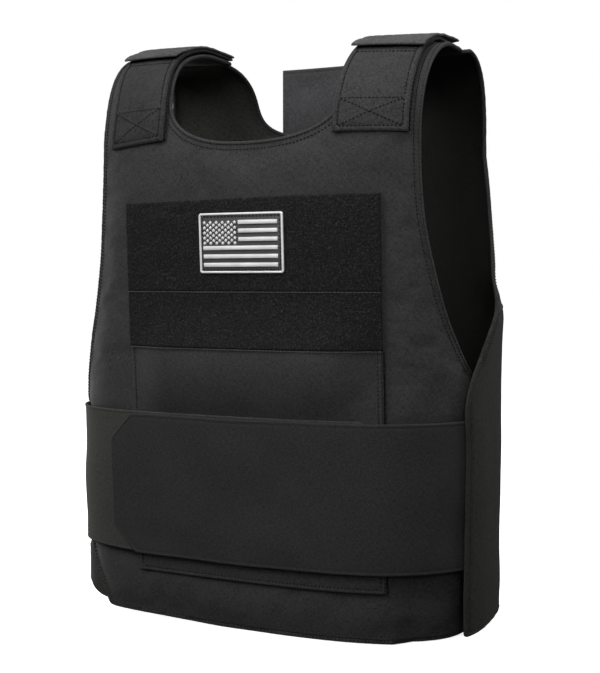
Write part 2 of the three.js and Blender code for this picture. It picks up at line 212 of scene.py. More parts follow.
def shoulder_turn(x, tilt):
    """Turn of a place on the front's shoulder, which leans out towards its top on the wearer's right."""
    return front_turn(x - np.where(x < FRONT_X, RIGHT_LEAN * ramp(*LEAN_TILTS, tilt), 0.0), BASE)


def skin(turn, climb, out, side):
    """Point at a turn and a climb: the body wall up to the shoulder base, and that side's arch above it."""
    turn, climb, out = np.broadcast_arrays(*(np.asarray(a, float) for a in (turn, climb, out)))
    tilt = side * np.clip(90 - (climb - BASE) / CLIMB, -20, 90)
    low = wall(turn, np.minimum(climb, BASE), out)
    return np.where((climb <= BASE)[..., None], low, arch(turn, tilt, out))


def front_at(x, height, out):
    """Point on the front at x and a height."""
    return wall(front_turn(x, height), height, out)


def unit(vectors):
    """Vectors of length one."""
    return vectors / np.maximum(np.linalg.norm(vectors, axis=-1, keepdims=True), 1e-9)


def ripple(u, v, wave, seed, count=28):
    """Soft random relief of about unit size: a sum of cosines with seeded directions, lengths and phases."""
    rng = np.random.default_rng(seed)
    angle, phase = rng.uniform(0, 2 * np.pi, (2, count))
    rate = 2 * np.pi / (wave * rng.uniform(0.7, 1.6, count))
    total = 0
    for a, p, k in zip(angle, phase, rate):
        total = total + np.cos(k * (u * np.cos(a) + v * np.sin(a)) + p)
    return total * math.sqrt(2 / count)


def spaced(length, step, fine=(0, 0.35, 0.9, 1.7, 2.8, 3.8, 4.6, 5.6, 7.2)):
    """Places from 0 to length, close together near both ends and a step apart between."""
    fine = np.array(fine, float)
    count = max(int(round((length - 2 * fine[-1]) / step)), 1)
    middle = np.linspace(fine[-1], length - fine[-1], count + 1)
    return np.concatenate([fine[:-1], middle, (length - fine[:-1])[::-1]])


def rounded(edge, reach):
    """Share of the full thickness at a distance from an edge: a quarter circle of that reach."""
    return np.sqrt(1 - (1 - np.clip(edge / reach, 0, 1)) ** 2)


def turned_edge(edge, row, height=0.4):
    """Relief of a turned and stitched edge: a roll out to the stitch row, a dip at the row, level past it."""
    return height * np.sin(np.pi * np.clip(edge / row, 0, 1)) - height * np.exp(-((edge - row) / 0.9) ** 2)


def grid_quads(rows, columns, closed=(False, False)):
    """Quads of a grid of points counted row by row; a closed direction runs on to its start."""
    r = np.arange(rows - (not closed[0]))[:, None]
    c = np.arange(columns - (not closed[1]))[None, :]
    up, on = (r + 1) % rows, (c + 1) % columns
    corners = [r * columns + c, r * columns + on, up * columns + on, up * columns + c]
    return np.stack(corners, -1).reshape(-1, 4)


def closed_sheet(outer, inner, quads):
    """Outer quads, inner quads turned round, and a wall along every edge that only one quad has."""
    count = len(outer)
    start, end = quads.reshape(-1), np.roll(quads, -1, axis=1).reshape(-1)
    free = ~np.isin(start * count + end, end * count + start)
    a, b = start[free], end[free]
    walls = np.stack([b, a, a + count, b + count], axis=1)
    return np.concatenate([outer, inner]), np.concatenate([quads, quads[:, ::-1] + count, walls])


def cloth_map(points):
    """Cloth coordinates of a grid in metres: lengths along its rows and up its columns, from the middle."""
    across = np.linalg.norm(np.diff(points, axis=1), axis=-1)
    along = np.linalg.norm(np.diff(points, axis=0), axis=-1)
    u = np.pad(np.cumsum(across, axis=1), ((0, 0), (1, 0)))
    v = np.pad(np.cumsum(along, axis=0), ((1, 0), (0, 0)))
    u -= u[:, u.shape[1] // 2, None]
    return np.stack([u, v], -1).reshape(-1, 2) * MM


def distance_to(points, line):
    """Distance from each point to the nearest point of a line, in blocks of rows."""
    flat = points.reshape(-1, 3)
    near = []
    for block in np.array_split(flat, max(len(flat) // 3000, 1)):
        square = (block ** 2).sum(1)[:, None] + (line ** 2).sum(1)[None] - 2 * block @ line.T
        near.append(np.sqrt(np.maximum(square, 0).min(1)))
    return np.concatenate(near).reshape(points.shape[:-1])


def resample(line, step, closed=False):
    """Points an even step apart along a line of points."""
    if closed:
        line = np.concatenate([line, line[:1]])
    long = np.concatenate([[0], np.cumsum(np.linalg.norm(np.diff(line, axis=0), axis=1))])
    count = max(int(round(long[-1] / step)), 2)
    at = np.linspace(0, long[-1], count + 1)
    at = at[:-1] if closed else at
    return np.stack([np.interp(at, long, line[:, i]) for i in range(line.shape[1])], axis=1)


def soften(loop, reach):
    """Closed line with its corners rounded: a Gaussian mean over that many neighbours to either side."""
    offset = np.arange(-3 * reach, 3 * reach + 1)
    weight = np.exp(-0.5 * (offset / reach) ** 2)
    return sum(w * np.roll(loop, k, axis=0) for k, w in zip(offset, weight / weight.sum()))


def make_piece(name, points, faces, uv, finish):
    """Smooth mesh piece from points in millimetres, faces and one cloth coordinate per point."""
    mesh = bpy.data.meshes.new(name)
    mesh.from_pydata((points + CENTRE) * MM, [], faces)
    corners = np.empty(len(mesh.loops), np.int32)
    mesh.loops.foreach_get("vertex_index", corners)
    mesh.uv_layers.new(name="cloth").data.foreach_set("uv", uv[corners].astype(np.float32).ravel())
    mesh.polygons.foreach_set("use_smooth", np.ones(len(mesh.polygons), bool))
    mesh.materials.append(finish)
    piece = bpy.data.objects.new(name, mesh)
    bpy.context.scene.collection.objects.link(piece)
    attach(piece, "root")
    return piece


def sheet_piece(name, place, inner, outer, finish):
    """Sheet over a grid: place gives the points at an offset, inner and outer are its two faces' offsets."""
    top, under = place(outer), place(inner)
    quads = grid_quads(*top.shape[:2])
    points, faces = closed_sheet(top.reshape(-1, 3), under.reshape(-1, 3), quads)
    uv = cloth_map(top)
    return make_piece(name, points, faces, np.concatenate([uv, uv]), finish)


class Finish:
    """Procedural material: a principled shader with helpers that add and link nodes."""

    def __init__(self, name, **sockets):
        self.material = bpy.data.materials.new(name)
        self.material.use_nodes = True
        self.tree = self.material.node_tree
        self.shader = self.tree.nodes["Principled BSDF"]
        for socket, value in sockets.items():
            self.shader.inputs[socket.replace("_", " ")].default_value = value

    def add(self, kind, inputs=(), **settings):
        """Node of a kind with its settings, and its inputs given as values or as sockets to link."""
        node = self.tree.nodes.new(kind)
        for key, value in settings.items():
            setattr(node, key, value)
        for key, value in dict(inputs).items():
            if isinstance(value, bpy.types.NodeSocket):
                self.tree.links.new(value, node.inputs[key])
            else:
                node.inputs[key].default_value = value
        return node

    def math(self, operation, a, b=0.0):
        """Result of a sum on two values."""
        return self.add("ShaderNodeMath", {0: a, 1: b}, operation=operation).outputs[0]

    def plus(self, tone, value, share):
        """Tone with a share of another value added to it."""
        return self.math("ADD", tone, self.math("MULTIPLY", value, share))

    def noise(self, vector, scale, detail=2.0, rough=0.5):
        """Noise over a vector; the scale is how many grains there are to a metre."""
        inputs = {"Vector": vector, "Scale": scale, "Detail": detail, "Roughness": rough}
        return self.add("ShaderNodeTexNoise", inputs).outputs["Fac"]

    def spread(self, value, low, high, to_low, to_high):
        """Value carried over from one range to another and held at its ends."""
        inputs = {0: value, 1: low, 2: high, 3: to_low, 4: to_high}
        return self.add("ShaderNodeMapRange", inputs).outputs[0]

    def tones(self, value, *stops):
        """Colour ramp over grey stops given as place and shade."""
        node = self.add("ShaderNodeValToRGB", {0: value})
        for element, (place, shade) in zip(node.color_ramp.elements, stops):
            element.position, element.color = place, (*shade, 1)
        for place, shade in stops[2:]:
            node.color_ramp.elements.new(place).color = (*shade, 1)
        return node.outputs[0]

    def link(self, value, socket):
        """Feed a socket of the shader."""
        self.tree.links.new(value, self.shader.inputs[socket])

    def bump(self, height, distance):
        """Fine relief of a height, given in metres."""
        node = self.add("ShaderNodeBump", {"Height": height, "Distance": distance, "Strength": 1.0})
        self.link(node.outputs[0], "Normal")

    def cloth(self):
        """The cloth coordinates, in metres."""
        return self.add("ShaderNodeUVMap", uv_map="cloth").outputs[0]

    def place(self):
        """The object's own coordinates, in metres."""
        return self.add("ShaderNodeTexCoord").outputs["Object"]

    def parts(self, vector):
        """The three parts of a vector."""
        return self.add("ShaderNodeSeparateXYZ", {0: vector}).outputs

    def slubs(self, uv, along, across):
        """Thick and thin places along the yarns: noise drawn out along the warp plus noise along the weft."""
        total = 0.0
        for scale in ((along, across, 1.0), (across, along, 1.0)):
            drawn = self.add("ShaderNodeMapping", {"Vector": uv, "Scale": scale}).outputs[0]
            total = self.plus(total, self.noise(drawn, 1.0, 2.0, 0.6), 0.5)
        return total

    def wave(self, value, pitch):
        """Sine of a cloth coordinate with a pitch in metres."""
        return self.math("SINE", self.math("MULTIPLY", value, 2 * math.pi / pitch))


def grey(shade, warm=0.0):
    """Grey colour with a little warmth: less blue."""
    return (shade, shade, shade * (1 - warm))


def woven(name, shade, pitch=0.00115, depth=0.0001, sheen=0.02, warm=0.0, contrast=1.0, mottle=0.16,
          painted_light=1.0):
    """Plain-woven cloth: threads cross over and under, with thick and thin places along both sets of yarn.

    Its shade varies by the contrast and in blotches by the mottle; painted light makes it that much paler on
    the wearer's right.
    """
    finish = Finish(name, Roughness=0.8, Specular_IOR_Level=0.1, Sheen_Weight=sheen, Sheen_Roughness=0.5)
    uv, place = finish.cloth(), finish.place()
    u, v, _ = finish.parts(uv)
    weave = finish.math("MULTIPLY", finish.wave(u, pitch), finish.wave(v, pitch))
    yarn = finish.noise(place, 1400.0, 2.0, 0.6)
    finish.bump(finish.plus(finish.math("MULTIPLY", weave, 0.5), yarn, 1.1), depth)
    tone = finish.plus(finish.slubs(uv, 320.0, 1250.0), weave, 0.05)
    tone = finish.plus(tone, yarn, 0.4)
    tone = finish.plus(tone, finish.noise(place, 26.0, 3.0, 0.55), 0.16)
    blotch = finish.math("SUBTRACT", finish.noise(place, 230.0, 2.0, 0.6), 0.5)
    tone = finish.plus(tone, blotch, mottle)
    low, high = grey(shade * (1 - 0.45 * contrast), warm), grey(shade * (1 + 0.45 * contrast), warm)
    colour = finish.tones(tone, (0.62, low), (0.94, high))
    painted_light_gain = finish.spread(finish.parts(place)[0], -0.06, 0.05, painted_light, 1.0)
    scaled = finish.add("ShaderNodeVectorMath", {0: colour, 3: painted_light_gain}, operation="SCALE")
    finish.link(scaled.outputs[0], "Base Color")
    return finish.material


def looped(name, shade):
    """Loop pile: tangled fine fibre, dark between the loops, with pale specks where a loop catches light."""
    finish = Finish(name, Roughness=0.95, Specular_IOR_Level=0.05, Sheen_Weight=0.01, Sheen_Roughness=0.6)
    fibre = finish.noise(finish.place(), 760.0, 3.0, 0.75)
    finish.bump(fibre, 0.0005)
    stops = ((0.36, grey(shade * 0.4)), (0.74, grey(shade * 3.6)), (0.55, grey(shade)))
    finish.link(finish.tones(fibre, *stops), "Base Color")
    return finish.material


def brushed(name, shade, sheen, warm=0.0):
    """Brushed elastic: a short even nap over faint crossing yarns."""
    finish = Finish(name, Roughness=0.9, Specular_IOR_Level=0.06, Sheen_Weight=sheen, Sheen_Roughness=0.5)
    place = finish.place()
    nap = finish.noise(place, 900.0, 3.0, 0.65)
    finish.bump(nap, 0.00022)
    tone = finish.plus(finish.slubs(finish.cloth(), 300.0, 1100.0), nap, 0.5)
    tone = finish.plus(tone, finish.noise(place, 20.0), 0.14)
    low, high = grey(shade * 0.6, warm), grey(shade * 1.4, warm)
    finish.link(finish.tones(tone, (0.6, low), (1.04, high)), "Base Color")
    return finish.material


def moulded(name, shade, rough):
    """Soft moulded rubber with a fine matt grain."""
    finish = Finish(name, Roughness=rough, Specular_IOR_Level=0.4)
    place = finish.place()
    finish.bump(finish.noise(place, 2200.0), 0.00006)
    slow = finish.noise(place, 90.0)
    finish.link(finish.tones(slow, (0.3, grey(shade * 0.9)), (0.7, grey(shade * 1.05))), "Base Color")
    return finish.material


def spun(name, shade):
    """Sewing thread: a light twist along each stitch."""
    finish = Finish(name, Roughness=0.75, Specular_IOR_Level=0.15, Sheen_Weight=0.03)
    u, v, _ = finish.parts(finish.cloth())
    twist = finish.wave(finish.plus(u, v, 0.6), 0.0007)
    finish.bump(twist, 0.00008)
    tone = finish.plus(finish.noise(finish.place(), 300.0), twist, 0.25)
    finish.link(finish.tones(tone, (0.2, grey(shade * 0.6)), (0.9, grey(shade * 1.4))), "Base Color")
    return finish.material


CLOTH = woven("oxford_cloth", 0.034)
# Copy of the oxford cloth for the side wings: darker as painted shade of the sides turned from the light, and
# a little warmer
SHADED_WING_CLOTH = woven("oxford_cloth_sides_painted_shade", 0.0245, warm=0.06, mottle=0.3)
# The strap cloth on the wearer's right is darker than on the left: painted shade
STRAP_CLOTH = {
    1: woven("strap_cloth_left", 0.033, depth=0.00016, contrast=1.25, mottle=0.24),
    -1: woven("strap_cloth_right", 0.026, depth=0.00016, contrast=1.3, mottle=0.34),
}
NECK_CLOTH = woven("neck_flap_cloth", 0.047, warm=-0.05)
# Inside faces: the same cloth painted much darker as shade, and painted light makes it paler towards the
# wearer's right
INSIDE_PAINTED_SHADE = woven("inside_cloth_painted_shade_and_light", 0.0056, pitch=0.0016, depth=0.00012, sheen=0.01, warm=0.1, painted_light=5.5)
LOOP = looped("loop_pile", 0.0148)
BAND_CLOTH = brushed("brushed_elastic", 0.027, 0.015)
# The under band's elastic is paler than the outer band's: its own warmer tint, and painted light on the side
# towards the wearer's right
UNDER_CLOTH = brushed("brushed_elastic_under_painted_light", 0.039, 0.02, 0.07)
FLAP_CLOTH = woven("flap_cloth", 0.060, depth=0.0003, sheen=0.05, contrast=1.6)
THREAD = spun("sewing_thread", 0.006)
PALE_THREAD = spun("pale_thread", 0.085)
WHITE_RUBBER = moulded("white_rubber", 0.72, 0.5)
GREY_RUBBER = moulded("grey_rubber", 0.05, 0.55)

# Thread of each kind of row, the share of its pitch that a stitch fills, and its radius; a shadow cord is a
# solid dark cord of painted shadow
STITCHES = {"stitches": (THREAD, 0.6, 0.55), "piping": (THREAD, 1.25, 0.95), "trim": (PALE_THREAD, 0.9, 0.5)}
STITCH_PITCH = 3.3

seams = {}


def seam(group, line, lift):
    """Keep a row of stitches for a group: line is the points on the cloth, lift the directions out of it."""
    seams.setdefault(group, []).append((line, lift))


def stitch_points(line, lift, fill, radius):
    """Stitches along a line: a short capsule at each pitch, its middle standing up and its ends sunk in."""
    long = np.concatenate([[0], np.cumsum(np.linalg.norm(np.diff(line, axis=0), axis=1))])
    count = max(int(long[-1] / STITCH_PITCH), 1)
    at = (np.arange(count) + 0.5) * long[-1] / count

    def along(values, places):
        """Values at distances along the line."""
        return np.stack([np.interp(places, long, values[:, i]) for i in range(3)], axis=1)

    half = 0.5 * fill * STITCH_PITCH
    middle, up = along(line, at), unit(along(lift, at))
    run = unit(along(line, at + half) - along(line, at - half))
    side = unit(np.cross(run, up))
    up = np.cross(side, run)
    t = np.array([-1.0, -0.62, 0.0, 0.62, 1.0])
    swell = radius * np.array([0.35, 0.9, 1.0, 0.9, 0.35])
    sink = radius * (0.35 - t ** 2)
    ring = np.radians(np.arange(5) * 72.0)
    spine = middle[:, None] + run[:, None] * (half * t)[None, :, None] + up[:, None] * sink[None, :, None]
    spoke = side[:, None] * np.cos(ring)[None, :, None] + up[:, None] * np.sin(ring)[None, :, None]
    return spine[:, :, None] + spoke[:, None] * swell[None, :, None, None]


def make_stitches(group, rows):
    """One mesh of all the stitches of a group: each is five rings of five points with its two ends closed."""
    thread, fill, radius = STITCHES[group.rsplit("_", 1)[1]]
    points = np.concatenate([stitch_points(line, lift, fill, radius) for line, lift in rows])
    count = len(points)
    quads = grid_quads(5, 5, (False, True))
    caps = np.array([[4, 3, 2, 1, 0], [20, 21, 22, 23, 24]])
    base = (np.arange(count) * 25)[:, None, None]
    faces = (quads[None] + base).reshape(-1, 4).tolist() + (caps[None] + base).reshape(-1, 5).tolist()
    grid = np.stack(np.meshgrid(np.arange(5) * 0.6 * MM, np.arange(5) * 0.45 * MM, indexing="ij"), -1)
    uv = np.tile(grid.reshape(-1, 2), (count, 1))
    return make_piece(group, points.reshape(-1, 3), faces, uv, thread)


# Front panel and back panel


def neckline(neck, opening):
    """Climb of a neckline where it has opened by a share: its foot plus a superelliptic rise."""
    drop = 1 - (1 - opening ** neck["power"]) ** (1 / neck["power"])
    height = neck["low"] + neck["depth"] * drop
    return BASE + CLIMB * (90 - np.degrees(np.arccos((height / RISE) ** (neck["arch"] / 2))))


def end_climb(neck, side):
    """Climb at the end of a shoulder wing, past the crest."""
    return BASE + CLIMB * (90 - side * neck["end"])


def front_side(hand, climb, inset=0.0):
    """Turn of the front's outer edge at a climb; hand is 1 on the wearer's left and -1 on the right."""
    reach = curve(FRONT_EDGE, 2 if hand > 0 else 1, np.minimum(climb, BASE))
    tilt = -(90 - (np.maximum(climb, BASE) - BASE) / CLIMB)
    x = FRONT_X + hand * reach
    lean = np.where(x < FRONT_X, RIGHT_LEAN * ramp(*LEAN_TILTS, tilt), 0.0) * (climb > BASE)
    return front_turn(x - lean, np.minimum(climb, BASE)) - hand * inset * 0.3


def front_neck_turn(hand, opening, climb, inset=0.0):
    """Turn of the front neckline where it has opened by a share."""
    x = FRONT_X + opening * (FRONT_NECK["shift"] + hand * (FRONT_NECK["half"] + inset))
    tilt = -(90 - (climb - BASE) / CLIMB)
    return shoulder_turn(x, tilt)


def back_side(hand, climb, inset=0.0):
    """Turn round of the back panel's outer edge at a climb; hand is 1 for the wearer's left."""
    edge = curve(BACK_EDGE, 2 if hand > 0 else 1, np.minimum(climb, BASE))
    top, up = BACK_TOP[hand > 0], np.clip((climb - BASE) / (90 * CLIMB), 0, 1)
    return 180 - hand * (blend(edge, top, up) - inset * 0.42)


def back_neck_turn(hand, opening, climb, inset=0.0):
    """Turn round of the back neckline where it has opened by a share."""
    return back_turn(MIDDLE + opening * (BACK_NECK["shift"] + hand * (BACK_NECK["half"] + inset)), BASE)


def straight(start, end, climb, count):
    """Outline places between two turns at one climb, without the two ends."""
    share = np.linspace(0, 1, count)[1:-1]
    return np.stack([blend(start, end, share), np.full(len(share), climb)], 1)


def panel_outline(neck, side, edge_turn, neck_turn):
    """Closed outline of a panel as turns and climbs: hem, edge, shoulder end, neckline and down again."""
    top = end_climb(neck, side)
    rise = np.linspace(0, top, 260)
    opening = np.sin(np.linspace(0, np.pi / 2, 60))
    collar = neckline(neck, opening)
    up = np.linspace(collar[-1], top, 70)[1:]
    climb = np.concatenate([collar, up])
    opened = np.concatenate([opening, np.ones(len(up))])
    hands = (1, -1) if side < 0 else (-1, 1)
    edge_a, edge_b = (np.stack([edge_turn(hand, rise), rise], 1) for hand in hands)
    neck_a, neck_b = (np.stack([neck_turn(hand, opened, climb), climb], 1) for hand in hands)
    return np.concatenate([
        straight(edge_b[0, 0], edge_a[0, 0], 0.0, 100), edge_a,
        straight(edge_a[-1, 0], neck_a[-1, 0], top, 24), neck_a[::-1], neck_b[1:],
        straight(neck_b[-1, 0], edge_b[-1, 0], top, 24), edge_b[::-1],
    ])


def panel_grid(neck, side, edge_turn, neck_turn, middle_turn, grid):
    """Turns, climbs and quads of a panel: full rows up to the neckline, then a set of rows for each shoulder.

    Each row runs straight from the inner line, which is the middle and then the neckline, to the outer edge.
    The knee is the climb of the outer edge across from the neckline's foot.
    """
    top, foot, brow = end_climb(neck, side), neckline(neck, np.array(0.0)), neckline(neck, np.array(1.0))
    (body, collar, arm), half, knee = grid["rows"], grid["half"], grid["knee"]
    opening = np.sin(np.linspace(0, np.pi / 2, collar + 1))[1:]
    last = np.linspace(brow, top - INSET, arm + 1)[1:]
    collar_rise = neckline(neck, opening) - INSET * (1 - opening)
    inner = np.concatenate([np.linspace(INSET, foot - INSET, body + 1), collar_rise, last])
    beside = np.linspace(knee, brow, collar + 1)[1:]
    outer = np.concatenate([np.linspace(INSET, knee, body + 1), beside, last])
    opened = np.concatenate([np.zeros(body + 1), opening, np.ones(arm)])
    share = np.linspace(0, 1, half + 1)[None, :]
    sides = []
    for hand in (-1, 1):
        rim = neck_turn(hand, opened, np.maximum(inner, BASE), INSET)
        start = np.where(opened > 0, rim, middle_turn(inner))
        turn = blend(start[:, None], edge_turn(hand, outer, INSET)[:, None], share)
        sides.append((turn, blend(inner[:, None], outer[:, None], share)))
    flip = 1 if side < 0 else -1  # rows run towards the right of someone who faces the panel
    (turn_a, climb_a), (turn_b, climb_b) = sides[::flip]
    cut = body + 1
    pairs = (turn_a, turn_b), (climb_a, climb_b)
    full = [np.concatenate([a[:cut, ::-1], b[:cut, 1:]], axis=1) for a, b in pairs]
    parts = [full, [turn_a[cut:, ::-1], climb_a[cut:, ::-1]], [turn_b[cut:], climb_b[cut:]]]
    turn, climb = (np.concatenate([part[i].reshape(-1) for part in parts]) for i in (0, 1))
    wide, size = 2 * half + 1, (collar + arm) * (half + 1)
    join = np.arange(wide) + body * wide
    quads = [grid_quads(cut, wide)]
    for first, seam_row in ((cut * wide, join[:half + 1]), (cut * wide + size, join[half:])):
        numbers = np.concatenate([seam_row, first + np.arange(size)])
        quads.append(numbers[grid_quads(collar + arm + 1, half + 1)])
    return turn, climb, np.concatenate(quads)


def panel_edge(name, outline, side, middle_at, wing_at):
    """Bound edge of a panel: a bean-shaped section carried round the outline, with its stitch rows kept."""
    loop = soften(resample(outline * [1.0, 0.5], 0.8, closed=True), 1) * [1.0, 2.0]
    turn, climb = loop.T
    dense = skin(turn, climb, middle_at(turn, climb), side)
    keep = resample(np.concatenate([dense, loop], axis=1), BINDING_STEP, closed=True)
    turn, climb = keep[:, 3], keep[:, 4]
    path = skin(turn, climb, middle_at(turn, climb), side)
    normal = unit(skin(turn, climb, middle_at(turn, climb) + 1.0, side) - path)
    run = unit(np.roll(path, -1, axis=0) - np.roll(path, 1, axis=0))
    inward = unit(np.cross(normal, run))
    wing = wing_at(turn, climb)
    half = blend(RIM_HALF, WING_HALF, wing)
    count, sides = len(path), BINDING_SIDES
    long = np.arange(count) * BINDING_STEP
    pucker = 1 + 0.05 * ripple(long, 0 * long, 11.0, 5) + 0.04 * ripple(long, 0 * long, 40.0, 6)
    angle = np.radians(np.arange(sides) * 360 / sides)
    across = 0.5 * BINDING * (1 - np.cos(angle))
    thick = np.sign(np.sin(angle)) * np.abs(np.sin(angle)) ** 0.7
    stand = (half * pucker)[:, None] * thick[None]
    roll = path[:, None] + inward[:, None] * across[None, :, None] + normal[:, None] * stand[..., None]
    uv = np.stack(np.broadcast_arrays((long * MM)[:, None], (np.arange(sides) * 1.1 * MM)[None]), -1)
    faces = grid_quads(count, sides, (True, True))[:, ::-1]
    piece = make_piece(name, roll.reshape(-1, 3), faces, uv.reshape(-1, 2), CLOTH)
    finish_faces(piece, np.repeat(wing, sides))
    sewn = np.flatnonzero((wing < 0.5) | (climb > WING_TOP))
    runs = np.split(sewn, np.flatnonzero(np.diff(sewn) > 1) + 1)
    for face in (1, -1):
        for away, rise in ((0.7 * BINDING, half * 0.96), (BINDING + 3.2, half - 0.3)):
            row = path + inward * away + normal * face * rise[:, None]
            for places in runs:
                seam(name + "_stitches", row[places], normal[places] * face)
    return dense


def settle(points, quads, pinned, reach):
    """Cloth simulation of a panel's outer face in millimetres: pinned places stay, and the rest fills out.

    The cloth is a little larger than its place and is pressed from behind. No point ends further than its
    reach from where it began.
    """
    mesh = bpy.data.meshes.new("settling")
    mesh.from_pydata(points * MM, [], quads)
    cloth = bpy.data.objects.new("settling", mesh)
    bpy.context.scene.collection.objects.link(cloth)
    group = cloth.vertex_groups.new(name="pinned")
    group.add(np.flatnonzero(pinned).tolist(), 1.0, "REPLACE")
    modifier = cloth.modifiers.new("cloth", "CLOTH")
    rules = modifier.settings
    rules.quality, rules.mass = 6, 0.15
    rules.tension_stiffness = rules.compression_stiffness = 15.0
    rules.shear_stiffness, rules.bending_stiffness = 5.0, 0.05
    rules.use_pressure, rules.uniform_pressure_force = True, SETTLE_PRESSURE
    rules.shrink_min = rules.shrink_max = -SLACK
    rules.vertex_group_mass = "pinned"
    rules.effector_weights.gravity = 0.0
    modifier.collision_settings.use_collision = False
    modifier.point_cache.frame_start, modifier.point_cache.frame_end = 1, SETTLE_FRAMES
    for step in range(1, SETTLE_FRAMES + 1):
        bpy.context.scene.frame_set(step)
    result = cloth.evaluated_get(bpy.context.evaluated_depsgraph_get()).to_mesh()
    moved = np.empty(len(points) * 3)
    result.vertices.foreach_get("co", moved)
    bpy.data.objects.remove(cloth)
    bpy.data.meshes.remove(mesh)
    bpy.context.scene.frame_set(1)
    move = moved.reshape(-1, 3) / MM - points
    far = np.linalg.norm(move, axis=1)
    return points + move * (reach * np.tanh(far / reach) / np.maximum(far, 1e-9))[:, None]


def finish_faces(piece, wing, lined=0):
    """Cloth on a panel's first faces, or by the wing share of each its copy darkened with painted shade;
    inside cloth with painted shade and light on the next.
    """
    for finish in (INSIDE_PAINTED_SHADE, SHADED_WING_CLOTH):
        piece.data.materials.append(finish)
    index = np.zeros(len(piece.data.polygons), np.int32)
    index[:len(wing)] = 2 * (wing > 0.5)
    index[len(wing):len(wing) + lined] = 1
    piece.data.polygons.foreach_set("material_index", index)


def front_hem_lift(turn, climb):
    """How far the front's hem stands above the floor towards the wearer's right."""
    return (0.8 + 2.4 * ramp(12, 52, -turn)) * np.maximum(1 - climb / 60, 0)


def hem_crease(x, climb):
    """How far the front falls back beside the pocket's foot, towards the wearer's left and below the band."""
    return 0.5 * np.clip(x - 131, 0, 16) * (1 - ramp(62, 100, climb))


def padding(full):
    """Inner and outer offsets of the padding where it has filled out by a share."""
    return [blend(rim, middle, full) for rim, middle in zip(PAD_RIM, PAD_FULL)]


def front_middle(climb):
    """Turn of the front's middle line at a climb."""
    return front_turn(FRONT_X, np.minimum(climb, BASE))


def front_rim(turn, climb):
    """Offset of the front's bound edge, which falls back beside the pocket's foot."""
    return RIM_MIDDLE - hem_crease(skin(turn, climb, 0, -1)[..., 0], climb)


def no_wing(turn, climb):
    """Wing share of the front, which has no side wings."""
    return 0 * turn


def front_panel():
    """Padded front: thin along its edge and full in the middle, with slow swells and settled cloth."""
    turn, climb, quads = panel_grid(FRONT_NECK, -1, front_side, front_neck_turn, front_middle, FRONT_GRID)
    outline = panel_outline(FRONT_NECK, -1, front_side, front_neck_turn)
    outline[:, 1] += front_hem_lift(*outline.T)
    dense = panel_edge("front_panel_edge", outline, -1, front_rim, no_wing)
    climb = climb + front_hem_lift(turn, climb)
    flat = skin(turn, climb, RIM_MIDDLE, -1)
    x, z = flat[:, 0], flat[:, 2]
    edge = distance_to(flat, dense)
    full = ramp(*PAD_FADE, edge)
    inner, outer = padding(full)
    swell = ripple(x, z, 95.0, 11) * 0.5 + ripple(x, z, 38.0, 12) * 0.16
    crease = hem_crease(x, climb)
    outer = outer + full * swell - crease
    inner = inner + full * 0.4 * ripple(x, z, 80.0, 13) - crease
    across = np.abs(x - FRONT_X)
    covered = (across < POCKET["half"] + 3) & (climb > POCKET["low"] - 3) & (climb < POCKET["high"] + 2)
    covered |= (climb > BAND["low"] - 2) & (climb < BAND["high"] + 3)
    covered |= (np.abs(across - STRAP["middle"]) < STRAP["half"] + 2) & (climb > BASE)
    face = settle(skin(turn, climb, outer, -1), quads, covered | (edge < PINNED_EDGE), FRONT_SETTLE)
    points, faces = closed_sheet(face, skin(turn, climb, inner, -1), quads)
    uv = np.stack([x, climb], -1) * MM
    piece = make_piece("front_panel_pad", points, faces, np.concatenate([uv, uv]), CLOTH)
    finish_faces(piece, np.zeros(len(quads)), len(quads))
    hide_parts("front_panel")


def wing_share(turn, climb):
    """How far the back has stepped over to its side wings at a turn round and a climb."""
    away = np.abs(turn - 180)
    return ramp(54, 73, away) * (1 - ramp(272, 318, climb))


def hem_lift(turn, climb):
    """How far the side wings' hem stands above the floor."""
    away = np.abs(turn - 180)
    left = np.interp(away, (70, 103), (10.0, 4.4)) * ramp(44, 64, away)
    right = blend(30.0, 7.0, ramp(102, 115, away)) * ramp(76, 94, away)
    return np.where(turn < 180, left, right) * np.maximum(1 - climb / 60, 0)


def back_layers(turn, climb, pad):
    """Inner and outer offsets of the back: the padded panel's, passing over to the wings' at the sides."""
    share = wing_share(turn, climb)
    left = turn < 180
    tuck = np.minimum(-12.5 * ramp(48, 80, climb), -9.0 * ramp(107, 117, np.abs(turn - 180)))
    inner = blend(pad[0], np.where(left, 4.4, tuck - 0.9), share)
    outer = blend(pad[1], np.where(left, 7.2, tuck + 2.1), share)
    return inner, outer


def back_middle(climb):
    """Turn round of the back's middle line at a climb."""
    return 180.0 + 0 * climb


def back_rim(turn, climb):
    """Offset of the back's bound edge, midway between its two faces."""
    return np.mean(back_layers(turn, climb, PAD_RIM), axis=0)


